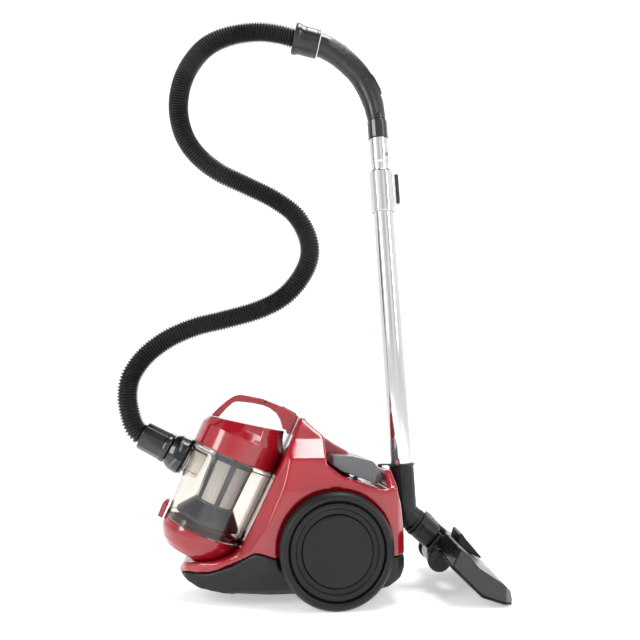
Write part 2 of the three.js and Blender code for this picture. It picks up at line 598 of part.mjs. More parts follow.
// ---- Nozzle neck with the hook that parks it on the body ----
function nozzleNeck() {
  const { radius, rim, bore, throat, ring } = NECK;
  const curve = curveThrough([WAND.foot, [127, 170], [129.2, 134], [131.4, 121], [137.5, 113.7], ring]);
  const length = curve.getLength();
  const outside = [[rim, 0], [rim, 2.4], [radius, 3.4]];
  const inside = [[throat, 44], [bore, 42.5], [bore, 0]];
  for (let step = 1; step <= 6; step += 1) {
    outside.push([radius, 3.4 + (length - 9.4) * step / 6]);
    inside.unshift([throat, 44 + (length - 44) * step / 6]);
  }
  outside.push([radius + 1.4, length - 5], [radius + 1.4, length]);
  const neck = bend(turned([...outside, ...inside, outside[0]], 20), curve);
  const hook = sidePrism([[105.8, 199.7], [86.6, 199.7], [86.6, 168], [90.6, 168], [90.6, 197.2],
    [105.8, 197.2]], -8, 8);
  return join(neck, hook);
}

add(vacuum, 'nozzle_neck', nozzleNeck(), BLACK);

// ---- Swivel collar and yoke; the nozzle below them is turned a little to the left ----
const swivelAngle = THREE.MathUtils.radToDeg(Math.atan2(SWIVEL.axis[0], SWIVEL.axis[1]));
const swivel = tiltedGroup(vacuum, NECK.ring, swivelAngle);
const turn = new THREE.Group();
turn.rotation.z = THREE.MathUtils.degToRad(5.5);
swivel.add(turn);
const collarShell = turned([[16, 0.5], [SWIVEL.radius, 0.5], [SWIVEL.radius, 6], [21.3, 8], [21.3, 34],
  [19.5, SWIVEL.length], [16, SWIVEL.length], [16, 0.5]], 20);
add(turn, 'swivel_collar', collarShell, BLACK);

const PIVOT = { x: 17.7, z: 57.7 };

function yoke() {
  const plan = [[-14, 37.4], [19, 37.4], [32, 50], [31, 64], [17, 74], [2, 67], [-14, 46]];
  const barrel = alongY(rod(16.5, -22, 22, 20)).translate(PIVOT.x, 0, PIVOT.z);
  const pinHole = alongY(rod(3.8, -30, 30, 10)).translate(PIVOT.x, 0, PIVOT.z);
  return cut(join(sidePrism(plan, -20, 20), barrel), rod(12.5, 30, 52, 16), pinHole);
}

add(turn, 'nozzle_yoke', yoke(), BLACK);

// ---- Floor nozzle about the axle of its wheels: X towards its front lip, Z up off the sole ----
const nozzle = tiltedGroup(turn, [PIVOT.x, PIVOT.z], -swivelAngle);
const SOLE = [[-2.6, 13.8], [42.7, -28.6], [91.7, -43.4]];
const SOLE_TOP = [[91.9, -40.4], [44, -25.6], [0, 16]];

function nozzleEnds(geometry) {
  const plan = mirroredPlan([[-20, 0], [-20, 106], [2, 124], [40, NOZZLE.half], [78, NOZZLE.half], [92, 116],
    [96, 100], [96, 0]]);
  return common(geometry, planPrism(plan, -70, 70));
}

function nozzleHousing() {
  const profile = [[0.5, 16.3], [44.2, -25.3], [91.9, -40.1], [92.5, -36], [88.9, -21.6], [75.3, -8.5],
    [38.6, 15.4], [24, 34], [13.5, 42]];
  const shell = nozzleEnds(sidePrism(profile, -NOZZLE.half, NOZZLE.half));
  const hollow = sidePrism([[20, -12], [46, -34], [87, -47], [85, -24], [73, -12], [38, 10], [26, 24],
    [14, 30]], -116, 116);
  const wheelRoom = alongY(rod(20.8, -42, 42, 20));
  const yokeRoom = alongY(rod(41, -23, 23, 24));
  const collarRoom = block(5, 0, 36, 50, 46, 48);
  const cheeks = bothSides((side) => sideBand([[-9, -6], [-9, 6], [-4, 11], [6, 12], [22, 30], [38.6, 15.4],
    [40, 9], [38, -6], [26, -9], [5, -11], [-4, -10]], 22.5, 30, side));
  const pinHole = alongY(rod(3.8, -60, 60, 10));
  return cut(join(cut(shell, hollow, wheelRoom, yokeRoom, collarRoom), ...cheeks), pinHole);
}

function solePlate() {
  const plate = nozzleEnds(sidePrism([...SOLE, ...SOLE_TOP], -NOZZLE.half, NOZZLE.half));
  const mouth = block(62, 0, -30, 15, 216, 30);
  const brushSlot = block(78.8, 0, -35, 7.6, 212, 20);
  return cut(plate, mouth, brushSlot, alongY(rod(20.8, -42, 42, 20)), alongY(rod(41, -31, 31, 24)));
}

add(nozzle, 'nozzle_housing', nozzleHousing(), BLACK);
add(nozzle, 'sole_plate', solePlate(), BLACK);
const brush = block(0, 0, 5.2, 3.6, 209, 9).rotateY(THREE.MathUtils.degToRad(14.4)).translate(78.4, 0, -37.2);
add(nozzle, 'brush_strip', brush, RUBBER);
const rocker = sidePrism([[34, 22.5], [37.5, 37], [42, 37.5], [47, 30], [73, 0], [72, -3], [52, 7.4]], -24, 24);
add(nozzle, 'nozzle_pedal', rocker, GREY);
const axleRod = alongY(turned([[0, -42], [5.5, -42], [5.5, -40.4], [3.5, -40.4], [3.5, 40.4], [5.5, 40.4],
  [5.5, 42], [0, 42]], 10));
add(nozzle, 'nozzle_axle', axleRod, STEEL);
for (const side of [-1, 1]) {
  const roller = turned([[3.8, 31], [17.5, 31], [AXLE.wheel, 32.5], [AXLE.wheel, 38.5], [17.5, 40],
    [3.8, 40], [3.8, 31]], 20);
  const name = side < 0 ? 'left_nozzle_wheel' : 'right_nozzle_wheel';
  const facing = alongY(roller);
  add(nozzle, name, side > 0 ? facing : facing.rotateZ(Math.PI), BLACK);
}

export default vacuum;
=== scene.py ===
# Canister vacuum cleaner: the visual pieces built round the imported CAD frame.
# Distances inside the piece dictionaries are millimetres in the CAD drawing's frame;
# place() brings them to metres in the row frame.
import json
import math

import bmesh
import bpy
import numpy as np
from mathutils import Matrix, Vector

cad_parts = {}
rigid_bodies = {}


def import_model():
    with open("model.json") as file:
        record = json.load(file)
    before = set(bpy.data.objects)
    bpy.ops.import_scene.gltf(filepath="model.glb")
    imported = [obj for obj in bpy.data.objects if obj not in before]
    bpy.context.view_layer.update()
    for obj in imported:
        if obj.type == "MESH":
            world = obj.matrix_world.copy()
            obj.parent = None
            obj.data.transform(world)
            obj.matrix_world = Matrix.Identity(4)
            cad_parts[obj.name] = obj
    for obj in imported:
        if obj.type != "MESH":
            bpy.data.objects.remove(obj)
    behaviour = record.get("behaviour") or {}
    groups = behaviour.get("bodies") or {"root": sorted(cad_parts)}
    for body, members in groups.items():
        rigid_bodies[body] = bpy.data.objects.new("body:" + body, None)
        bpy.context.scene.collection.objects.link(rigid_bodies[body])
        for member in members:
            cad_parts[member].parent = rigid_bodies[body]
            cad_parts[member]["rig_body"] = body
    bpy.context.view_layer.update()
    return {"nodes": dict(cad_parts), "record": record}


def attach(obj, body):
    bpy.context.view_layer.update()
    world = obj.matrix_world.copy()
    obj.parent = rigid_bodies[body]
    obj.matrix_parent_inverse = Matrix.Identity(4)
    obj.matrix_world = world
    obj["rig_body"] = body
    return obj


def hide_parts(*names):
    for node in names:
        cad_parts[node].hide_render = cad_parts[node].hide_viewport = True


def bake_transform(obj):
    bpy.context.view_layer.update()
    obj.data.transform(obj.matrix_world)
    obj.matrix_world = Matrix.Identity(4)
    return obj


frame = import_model()
nodes = frame["nodes"]
scene = bpy.context.scene
drawingShift = np.array([15.2, 0.0, 0.0])


def place(points):
    # millimetres in the drawing -> metres in the row frame
    return (np.asarray(points, float) + drawingShift) * 0.001


# camera
cameraFacts = {"spot": (-150, -1125, 303), "tilt": 96.9, "turn": -7.0, "lens": 37.86, "sensor": 36.0}
cameraData = bpy.data.cameras.new("viewCamera")
cameraData.lens = cameraFacts["lens"]
cameraData.sensor_width = cameraFacts["sensor"]
camera = bpy.data.objects.new("viewCamera", cameraData)
camera.location = place(cameraFacts["spot"])
camera.rotation_euler = (math.radians(cameraFacts["tilt"]), 0, math.radians(cameraFacts["turn"]))
scene.collection.objects.link(camera)
scene.camera = camera
print("camera placed")


# making tools
def finishMesh(obj, angle=35):
    # smooth shading, kept crisp where two faces meet at more than the angle
    mesh = obj.data
    mesh.polygons.foreach_set("use_smooth", np.ones(len(mesh.polygons), bool))
    mesh.set_sharp_from_angle(angle=math.radians(angle))
    return obj


def gridPiece(name, grid, material, closeU=False, closeV=True, angle=35, capEnds=False):
    # grid is an array rows x columns x 3, metres; each cell of the grid becomes a face,
    # u runs down the rows and v round the columns
    rows, cols = grid.shape[:2]
    u = np.arange(rows if closeU else rows - 1)[:, None]
    v = np.arange(cols if closeV else cols - 1)[None, :]
    nextU, nextV = (u + 1) % rows, (v + 1) % cols
    faces = np.stack([u * cols + v, u * cols + nextV, nextU * cols + nextV, nextU * cols + v],
        -1).reshape(-1, 4)
    mesh = bpy.data.meshes.new(name)
    mesh.from_pydata(grid.reshape(-1, 3).tolist(), [], faces.tolist())
    work = bmesh.new()
    work.from_mesh(mesh)
    bmesh.ops.remove_doubles(work, verts=work.verts, dist=2e-6)
    bmesh.ops.dissolve_degenerate(work, dist=1e-7, edges=work.edges)
    if capEnds:
        bmesh.ops.holes_fill(work, edges=[e for e in work.edges if e.is_boundary], sides=0)
    bmesh.ops.recalc_face_normals(work, faces=work.faces)
    work.to_mesh(mesh)
    work.free()
    mesh.materials.append(material)
    obj = bpy.data.objects.new(name, mesh)
    scene.collection.objects.link(obj)
    return finishMesh(obj, angle)


def axes(axis, side=(0, 1, 0)):
    # three unit vectors: z along the axis, y as near as it can be to the side, x across both
    z = np.array(axis, float) / np.linalg.norm(axis)
    x = np.cross(np.array(side, float), z)
    x /= np.linalg.norm(x)
    return x, np.cross(z, x), z


def eased(profile, radius, steps=3):
    # each inner corner of a profile gives way to a short parabola that starts and ends
    # the radius away from the corner, or a third of the side where the side is short
    p = [np.array(q, float) for q in profile]
    made = [p[0]]
    for before, corner, after in zip(p, p[1:], p[2:]):
        a, b = before - corner, after - corner
        la, lb = np.linalg.norm(a), np.linalg.norm(b)
        if min(la, lb) < 1e-6:
            made.append(corner)
            continue
        ra, rb = min(radius, la / 2.2), min(radius, lb / 2.2)
        s, e = corner + a / la * ra, corner + b / lb * rb
        for t in np.linspace(0, 1, steps + 1):
            made.append((1 - t) ** 2 * s + 2 * t * (1 - t) * corner + t * t * e)
    made.append(p[-1])
    return np.array(made)


def turnedPiece(name, profile, origin, axis, material, side=(0, 1, 0), steps=96, ease=0.8, closed=False,
    shape=None, angle=35):
    # a profile of (radius, height) pairs goes round the axis; shape(radius, height, turn)
    # gives the radius where the section isn't a circle
    line = eased(profile, ease) if ease else np.array(profile, float)
    x, y, z = axes(axis, side)
    turn = np.arange(steps) * 2 * math.pi / steps
    radius = np.repeat(line[:, :1], steps, 1)
    height = np.repeat(line[:, 1:], steps, 1)
    if shape:
        radius = shape(radius, height, turn[None, :])
    grid = (radius * np.cos(turn))[..., None] * x + (radius * np.sin(turn))[..., None] * y + height[...,
        None] * z
    return gridPiece(name, place(grid + np.array(origin, float)), material, closeU=closed, angle=angle)


def smoothLine(points, count):
    # centripetal spline through the points, then taken at equal steps of length
    p = np.array(points, float)
    p = np.vstack([2 * p[0] - p[1], p, 2 * p[-1] - p[-2]])
    made = []
    for i in range(1, len(p) - 2):
        q = p[i - 1:i + 3]
        gaps = np.sqrt(np.linalg.norm(np.diff(q, axis=0), axis=1))
        t = np.concatenate([[0], np.cumsum(gaps)])
        s = np.linspace(t[1], t[2], 24, endpoint=False)[:, None]
        a = [((t[k + 1] - s) * q[k] + (s - t[k]) * q[k + 1]) / (t[k + 1] - t[k]) for k in range(3)]
        b = [((t[k + 2] - s) * a[k] + (s - t[k]) * a[k + 1]) / (t[k + 2] - t[k]) for k in range(2)]
        made.append(((t[2] - s) * b[0] + (s - t[1]) * b[1]) / (t[2] - t[1]))
    line = np.vstack(made + [p[-2:-1]])
    run = np.concatenate([[0], np.cumsum(np.linalg.norm(np.diff(line, axis=0), axis=1))])
    at = np.linspace(0, run[-1], count)
    return np.stack([np.interp(at, run, line[:, k]) for k in range(3)], 1), at


def tubeGrid(line, radius, sides=32):
    # rings of the given radius across a line that lies in the plane y = 0: one arm of each
    # ring is y, the other is square to the line's own direction
    along = np.gradient(line, axis=0)
    along /= np.linalg.norm(along, axis=1)[:, None]
    across = np.cross(along, np.array([0.0, 1.0, 0.0]))
    turn = np.arange(sides) * 2 * math.pi / sides
    r = np.asarray(radius, float)
    r = r[:, None] if r.ndim == 1 else r
    return line[:, None, :] + (r * np.cos(turn))[..., None] * across[:, None, :] \
        + (r * np.sin(turn))[..., None] * np.array([0.0, 1.0, 0.0])


def settle(obj, body, *stoodFor, slot=None):
    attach(obj, body)
    if stoodFor:
        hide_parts(*stoodFor)
    return obj


# finishes
def shader(name):
    made = bpy.data.materials.new(name)
    made.use_nodes = True
    tree = made.node_tree
    return made, tree, tree.nodes["Principled BSDF"]


def linear(hexColour):
    # a colour as it is named for the screen, turned into the light values Blender uses
    parts = [int(hexColour[i:i + 2], 16) / 255 for i in (0, 2, 4)]
    return tuple(((c + 0.055) / 1.055) ** 2.4 if c > 0.04045 else c / 12.92 for c in parts)


def noiseAt(tree, scale, detail=3.0, stretch=(1, 1, 1), rough=0.5):
    coords = tree.nodes.new("ShaderNodeTexCoord")
    mapping = tree.nodes.new("ShaderNodeMapping")
    mapping.inputs["Scale"].default_value = stretch
    noise = tree.nodes.new("ShaderNodeTexNoise")
    noise.inputs["Scale"].default_value = scale
    noise.inputs["Detail"].default_value = detail
    noise.inputs["Roughness"].default_value = rough
    tree.links.new(coords.outputs["Object"], mapping.inputs["Vector"])
    tree.links.new(mapping.outputs["Vector"], noise.inputs["Vector"])
    return noise


def spread(tree, source, low, high, fromLow=0.35, fromHigh=0.65):
    reach = tree.nodes.new("ShaderNodeMapRange")
    reach.inputs["From Min"].default_value = fromLow
    reach.inputs["From Max"].default_value = fromHigh
    reach.inputs["To Min"].default_value = low
    reach.inputs["To Max"].default_value = high
    tree.links.new(source.outputs[0], reach.inputs["Value"])
    return reach


def moulded(name, colour, second, rough, roughSwing=0.05, grain=900, grainDepth=0.02, coat=0.0, edge=0.0006,
            cloud=14, wave=0.0, specular=0.5):
    # moulded plastic: a slow cloudy shift between two near colours, a fine skin of grain,
    # fingermarks that move the roughness, and a hairline round on every hard edge
    made, tree, bsdf = shader(name)
    cloudNoise = noiseAt(tree, cloud, 4)
    ramp = tree.nodes.new("ShaderNodeValToRGB")
    ramp.color_ramp.elements[0].position = 0.38
    ramp.color_ramp.elements[1].position = 0.62
    ramp.color_ramp.elements[0].color = (*linear(colour), 1)
    ramp.color_ramp.elements[1].color = (*linear(second), 1)
    tree.links.new(cloudNoise.outputs["Fac"], ramp.inputs["Fac"])
    tree.links.new(ramp.outputs["Color"], bsdf.inputs["Base Color"])
    smear = spread(tree, noiseAt(tree, cloud * 2.3, 5, rough=0.62), rough - roughSwing, rough + roughSwing)
    tree.links.new(smear.outputs["Result"], bsdf.inputs["Roughness"])
    bsdf.inputs["Coat Weight"].default_value = coat
    bsdf.inputs["Coat Roughness"].default_value = 0.05
    bsdf.inputs["Specular IOR Level"].default_value = specular
    skin = noiseAt(tree, grain, 2)
    bump = tree.nodes.new("ShaderNodeBump")
    bump.inputs["Strength"].default_value = grainDepth * 10
    bump.inputs["Distance"].default_value = 0.0002
    tree.links.new(skin.outputs["Fac"], bump.inputs["Height"])
    last = bump
    if wave:
        slow = noiseAt(tree, 9, 1)
        sink = tree.nodes.new("ShaderNodeBump")
        sink.inputs["Strength"].default_value = wave
        sink.inputs["Distance"].default_value = 0.002
        tree.links.new(slow.outputs["Fac"], sink.inputs["Height"])
        tree.links.new(bump.outputs["Normal"], sink.inputs["Normal"])
        last = sink
    if edge:
        soft = tree.nodes.new("ShaderNodeBevel")
        soft.samples = 4
        soft.inputs["Radius"].default_value = edge
        tree.links.new(soft.outputs["Normal"], bump.inputs["Normal"])
    tree.links.new(last.outputs["Normal"], bsdf.inputs["Normal"])
    return made


redGloss = moulded("redGloss", "9e1221", "90101d", 0.15, 0.04, 700, 0.004, coat=0.7, edge=0.0012, wave=0.05)
blackShell = moulded("blackShell", "0b0c0e", "101113", 0.42, 0.07, 1100, 0.05, coat=0.05, edge=0.0011,
    specular=0.36)
blackGloss = moulded("blackGloss", "101113", "15161a", 0.2, 0.06, 700, 0.012, coat=0.5, edge=0.001)
blackRubber = moulded("blackRubber", "0a0a0b", "0f0f10", 0.44, 0.07, 1500, 0.07, coat=0.03, edge=0.0008,
    specular=0.34)
wheelDisc = moulded("wheelDisc", "0c0d0e", "111214", 0.46, 0.05, 1300, 0.06, edge=0.0008, specular=0.34)
gripSatin = moulded("gripSatin", "101114", "17181b", 0.3, 0.07, 1200, 0.035, coat=0.2, edge=0.0009)
greyPedal = moulded("greyPedal", "55575b", "626468", 0.3, 0.06, 900, 0.03, coat=0.4, edge=0.0009)
navyPlastic = moulded("navyPlastic", "141c2c", "1b2538", 0.33, 0.06, 900, 0.02, coat=0.25, edge=0.0008)
greyButton = moulded("greyButton", "4a4c50", "56585b", 0.35, 0.06, 900, 0.03, coat=0.2, edge=0.0008)


def plated(name, colour, rough, brush, stretch=(1, 1, 1)):
    # plated tube: mirror bright with faint long drawing lines
    made, tree, bsdf = shader(name)
    bsdf.inputs["Metallic"].default_value = 1.0
    lines = noiseAt(tree, 260, 3, stretch)
    tone = tree.nodes.new("ShaderNodeValToRGB")
    tone.color_ramp.elements[0].position = 0.3
    tone.color_ramp.elements[1].position = 0.7
    tone.color_ramp.elements[0].color = (*[c * 0.9 for c in linear(colour)], 1)
    tone.color_ramp.elements[1].color = (*linear(colour), 1)
    tree.links.new(lines.outputs["Fac"], tone.inputs["Fac"])
    tree.links.new(tone.outputs["Color"], bsdf.inputs["Base Color"])
    swing = spread(tree, lines, rough, rough + 0.05)
    tree.links.new(swing.outputs["Result"], bsdf.inputs["Roughness"])
    bump = tree.nodes.new("ShaderNodeBump")
    bump.inputs["Strength"].default_value = brush
    bump.inputs["Distance"].default_value = 0.00005
    tree.links.new(lines.outputs["Fac"], bump.inputs["Height"])
    tree.links.new(bump.outputs["Normal"], bsdf.inputs["Normal"])
    return made


chromeTube = plated("chromeTube", "d9dadc", 0.07, 0.2, (1, 1, 0.03))
steelWork = plated("steelWork", "9b9da0", 0.26, 0.5)


def clearShell(name):
    # tinted clear moulding with a trace of haze and fine scuffs
    made, tree, bsdf = shader(name)
    scuff = noiseAt(tree, 60, 6, (1, 1, 0.4), 0.7)
    haze = spread(tree, scuff, 0.03, 0.16, 0.45, 0.75)
    tree.links.new(haze.outputs["Result"], bsdf.inputs["Roughness"])
    tint = tree.nodes.new("ShaderNodeValToRGB")
    tint.color_ramp.elements[0].color = (0.84, 0.81, 0.77, 1)
    tint.color_ramp.elements[1].color = (0.9, 0.88, 0.85, 1)
    tree.links.new(scuff.outputs["Fac"], tint.inputs["Fac"])
    tree.links.new(tint.outputs["Color"], bsdf.inputs["Base Color"])
    bsdf.inputs["Transmission Weight"].default_value = 1.0
    bsdf.inputs["IOR"].default_value = 1.46
    return made


clearBin = clearShell("clearBin")


def wovenCloth(name, colour, second, scale):
    # fine pleated cloth: two crossed waves make the threads, a slow noise soils it
    made, tree, bsdf = shader(name)
    coords = tree.nodes.new("ShaderNodeTexCoord")
    threads = []
    for direction in ("X", "Z"):
        wave = tree.nodes.new("ShaderNodeTexWave")
        wave.bands_direction = direction
        wave.inputs["Scale"].default_value = scale
        tree.links.new(coords.outputs["Object"], wave.inputs["Vector"])
        threads.append(wave)
    both = tree.nodes.new("ShaderNodeMath")
    both.operation = "MAXIMUM"
    tree.links.new(threads[0].outputs["Fac"], both.inputs[0])
    tree.links.new(threads[1].outputs["Fac"], both.inputs[1])
    soil = noiseAt(tree, 40, 5)
    ramp = tree.nodes.new("ShaderNodeValToRGB")
    ramp.color_ramp.elements[0].color = (*linear(colour), 1)
    ramp.color_ramp.elements[1].color = (*linear(second), 1)
    tree.links.new(soil.outputs["Fac"], ramp.inputs["Fac"])
    tree.links.new(ramp.outputs["Color"], bsdf.inputs["Base Color"])
    bsdf.inputs["Roughness"].default_value = 0.85
    bump = tree.nodes.new("ShaderNodeBump")
    bump.inputs["Strength"].default_value = 0.5
    bump.inputs["Distance"].default_value = 0.0003
    tree.links.new(both.outputs["Value"], bump.inputs["Height"])
    tree.links.new(bump.outputs["Normal"], bsdf.inputs["Normal"])
    return made


filterCloth = wovenCloth("filterCloth", "e9e7e1", "fbfaf6", 900)
print("finishes made")


# every CAD node starts with the finish of its slot; pieces below take over from some of them
finishOf = {"red_plastic": redGloss, "black_plastic": blackShell, "gloss_black": blackGloss,
    "black_rubber": blackRubber,
            "chrome": chromeTube, "steel": steelWork, "grey_plastic": greyPedal, "clear_plastic": clearBin,
            "navy_plastic": navyPlastic, "filter_cloth": filterCloth}
for part in frame["record"]["subparts"]:
    cadPart = nodes[part["node"]]
    cadPart.data.materials.clear()
    cadPart.data.materials.append(finishOf[part["material_slot"]])
nodes["nozzle_axle"].data.materials[0] = blackShell


# hose
hose = {
    "route": [(-299.45, 249.88), (-304, 252.3), (-312.5, 262.5), (-320, 282), (-325.2, 311), (-321, 342),
        (-300.4, 375),
              (-263.8, 405), (-221, 425), (-171.5, 438.5), (-111.8, 457.3), (-73.3, 479.5), (-46.2, 510.7),
                  (-30.8, 545),
              (-31.5, 577), (-52, 618), (-88, 646), (-138, 670), (-184, 691), (-218.4, 716), (-241.8, 746),
                  (-253.6, 779),
              (-256.9, 810.5), (-252, 848), (-237.4, 883.7), (-211, 918), (-172.9, 939.6), (-124, 950.5),
                  (-88, 949.4),
              (-59.3, 943.75)],
    "crest": 16.75, "root": 13.7, "pitch": 4.6, "ringsPerPitch": 6, "sides": 40,
    "breaks": (0.0, 0.36, 0.68, 1.0),
}
hoseLine, hoseRun = smoothLine([(x, 0, z) for x, z in hose["route"]], 1500)


def ribbedHose(name, start, end, material):
    # the radius follows a flattened cosine of the distance along the hose, one crest to a pitch
    rings = int((end - start) * hoseRun[-1] / hose["pitch"] * hose["ringsPerPitch"])
    at = np.linspace(start, end, rings) * hoseRun[-1]
    line = np.stack([np.interp(at, hoseRun, hoseLine[:, k]) for k in range(3)], 1)
    wave = 0.5 + 0.5 * np.tanh(2.2 * np.cos(2 * math.pi * at / hose["pitch"])) / math.tanh(2.2)
    radius = hose["root"] + (hose["crest"] - hose["root"]) * wave
    obj = gridPiece(name, place(tubeGrid(line, radius, hose["sides"])), material, angle=60, capEnds=True)
    return obj, place(line)


hoseRides = [("hoseLower", "bin", "body"), ("hoseMiddle", "body", "wand"), ("hoseUpper", "wand", "upper_wand")]
for (pieceName, nearBody, farBody), a, b in zip(hoseRides, hose["breaks"], hose["breaks"][1:]):
    run, route = ribbedHose(pieceName, a, b, blackRubber)
    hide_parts("hose")
    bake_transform(run)
print("hose made")


# wheels
wheel = {
    "profile": [(5.6, 97), (58, 97), (62, 99), (75, 99), (78, 97), (82, 97), (85, 100.5), (85, 116),
        (81.5, 121.2), (78.6, 122.9),
                (75.4, 122.9), (72.8, 121.4), (71.4, 116.2), (70.2, 116.2), (69.3, 120.4), (66.5, 121.1),
                    (62.3, 120.9),
                (61, 119.4), (60.4, 117.4), (52.9, 117.4), (52.6, 112), (5.6, 112)],
    "ribsRound": 168, "treadDepth": 0.55,
    "cap": [(0, 120.9), (38, 120.9), (49.2, 120.6), (51.3, 119.8), (52.4, 118.2), (52.4, 113), (0, 113)],
}


def treadShape(radius, height, turn):
    # fine ribs across the rolling band: a cosine round the wheel, only where the radius is full
    band = np.clip((radius - 84.2) / 0.8, 0, 1) * (height < 115) * (height > 101)
    return radius - wheel["treadDepth"] * band * (0.5 + 0.5 * np.cos(wheel["ribsRound"] * turn))


for sideName, sign in (("left", -1), ("right", 1)):
    rim = turnedPiece(sideName + "Rim", wheel["profile"], (0, 0, 85), (0, sign, 0), blackRubber,
        side=(0, 0, 1), steps=504,
                      ease=1.1, closed=True, shape=treadShape)
    settle(rim, sideName + "_wheel", sideName + "_wheel", slot="black_rubber")
    cap = turnedPiece(sideName + "Cap", wheel["cap"], (0, 0, 85), (0, sign, 0), wheelDisc, side=(0, 0, 1),
        steps=128, ease=1.2)
    settle(cap, sideName + "_wheel", sideName + "_hub_cap", slot="black_plastic")
print("wheels made")


# bin and its filter
dustBin = {
    "origin": (-200, 0, 102), "axis": (0.39393, 0, 0.91914),
    "wall": [(60, 0.3), (60.4, 4), (66.4, 119), (66.7, 121.8), (71.1, 121.8), (71.1, 116.6), (69.6, 115.4),
        (69.1, 108),
             (63.6, 9), (63.9, 7.2), (64.4, 6.4), (64.4, 0.3)],
    "bowl": [(0, -40.2), (30.5, -40.2), (45.5, -36), (55, -27), (60.4, -17.5), (61, -0.3), (64.6, -0.3),
        (64.6, -12),
             (62.5, -19), (57, -29), (47, -38.5), (32, -43), (0, -43)],
    "skirt": [(33.2, 40), (35, 40), (37.5, 36.5), (53, 18), (53, 13), (51, 13), (50.6, 17), (33.2, 35)],
    "mesh": [(28.4, 42), (32.3, 42), (32.3, 114), (28.4, 114)],
    "pleats": 44,
    "bars": 6, "barHalf": 0.125, "barThick": 1.4, "barTurn": -1.45, "barSpan": (43, 111),
}
turnedPiece("binWall", dustBin["wall"], dustBin["origin"], dustBin["axis"], clearBin, steps=160, ease=0.7,
    closed=True)
settle(bpy.data.objects["binWall"], "bin", "bin_cylinder", slot="clear_plastic")


def pleated(radius, height, turn):
    # the cloth folds in and out round the cup: a rounded triangle wave of small depth
    fold = np.arcsin(np.sin(dustBin["pleats"] * turn) * 0.97) / (math.pi / 2)
    return radius - 0.8 * (0.5 + 0.5 * fold)


cup = turnedPiece("filterCup", dustBin["mesh"], dustBin["origin"], dustBin["axis"], filterCloth, steps=352,
    ease=0.5, closed=True, shape=pleated)
settle(cup, "lid", "filter_mesh", slot="filter_cloth")
skirt = turnedPiece("dustSkirt", dustBin["skirt"], dustBin["origin"], dustBin["axis"], navyPlastic,
    steps=120, ease=1.0, closed=True)
settle(skirt, "lid", "cone_skirt", slot="navy_plastic")
print("bin and filter made")


# inlet, connector and lower cuff
inlet = {
    "origin": (-221.53, 0, 209.15), "axis": (-0.88621, 0, 0.46329),
    "ball": [(18.5, 8.4), (27.4, 8.4), (29.6, 11.3), (30.6, 12.6), (30.6, 16.2), (30.1, 19.5), (29.5, 27),
        (28.6, 29.6),
             (26.3, 34.4), (24.6, 37.6), (22, 38.5), (18.5, 38.5)],
    "cuff": [(18.2, 39.1), (23.4, 39.1), (25, 40.3), (25, 46.4), (24.4, 47.6), (23.8, 48.6), (23.6, 51),
        (22.6, 84.6),
             (21.6, 87.4), (17.2, 87.4), (17.2, 60), (18.2, 58)],
    "flutes": 12, "fluteDepth": 0.95,
}
ball = turnedPiece("hoseBall", inlet["ball"], inlet["origin"], inlet["axis"], blackGloss, steps=112,
    ease=1.6, closed=True)
settle(ball, "bin", "hose_connector", slot="gloss_black")


def fluted(radius, height, turn):
    # broad flats round the cuff, deepest at the middle of its length
    body = np.clip((height - 49) / 4, 0, 1) * np.clip((86 - height) / 4, 0, 1) * (radius > 20)
    return radius - inlet["fluteDepth"] * body * np.abs(np.cos(0.5 * inlet["flutes"] * turn)) ** 0.7


lowerCuff = turnedPiece("lowerCuff", inlet["cuff"], inlet["origin"], inlet["axis"], blackGloss, steps=192,
    ease=0.9, closed=True,
                        shape=fluted)
settle(lowerCuff, "lower_cuff", "lower_cuff", slot="gloss_black")
print("cuff made")


# upper hose cuff and grip
upperCuff = {
    "origin": (-13.7, 0, 934.1), "axis": (-0.97851, 0, 0.20620),
    "line": [(17.4, 0.8), (22.6, 0.8), (23.9, 1.3), (24.6, 2.6), (24.6, 31), (25, 34.4), (26.6, 38.4),
        (27, 40), (27, 43.2), (26.6, 45),
             (25, 46.2), (17.4, 46.2), (17.4, 20)],
    "ribs": 0.5,
}


def cuffGrooves(radius, height, turn):
    # two shallow grooves round the cuff, one near each end of its narrow part: each a bell curve of the height
    ring = np.exp(-((height - 7) / 1.1) ** 2) + np.exp(-((height - 28.5) / 1.1) ** 2)
    return radius - upperCuff["ribs"] * ring * (radius > 22)


profile = upperCuff["line"]
dense = []
for (r0, h0), (r1, h1) in zip(profile, profile[1:]):
    count = max(1, int(math.hypot(r1 - r0, h1 - h0) / 0.7))
    dense += [(r0 + (r1 - r0) * k / count, h0 + (h1 - h0) * k / count) for k in range(count)]
dense.append(profile[-1])
cuff = turnedPiece("upperCuff", dense, upperCuff["origin"], upperCuff["axis"], gripSatin, steps=96, ease=0,
    closed=True,
                   shape=cuffGrooves, angle=60)
settle(cuff, "upper_cuff", "upper_cuff", slot="gloss_black")


# wand
wand = {
    "origin": (125.2, 0, 200), "axis": (-0.0586, 0, 0.9983),
    "outer": [(16.2, -40.8), (17.5, -40.8), (17.5, 432), (16.2, 432)],
    "inner": [(13.7, 100), (15.2, 100), (15.2, 519), (15.5, 520), (16.6, 522.4), (16.8, 523.5),
        (16.8, 563.6), (16.3, 564.4),
              (13.7, 564.4), (13.7, 300)],
}
tube = turnedPiece("wandOuterTube", wand["outer"], wand["origin"], wand["axis"], chromeTube, steps=96,
    ease=0.5, closed=True)
settle(tube, "wand", "outer_tube", slot="chrome")
tube = turnedPiece("wandInnerTube", wand["inner"], wand["origin"], wand["axis"], chromeTube, steps=96,
    ease=0.4, closed=True)
settle(tube, "upper_wand", "inner_tube", slot="chrome")
print("wand made")


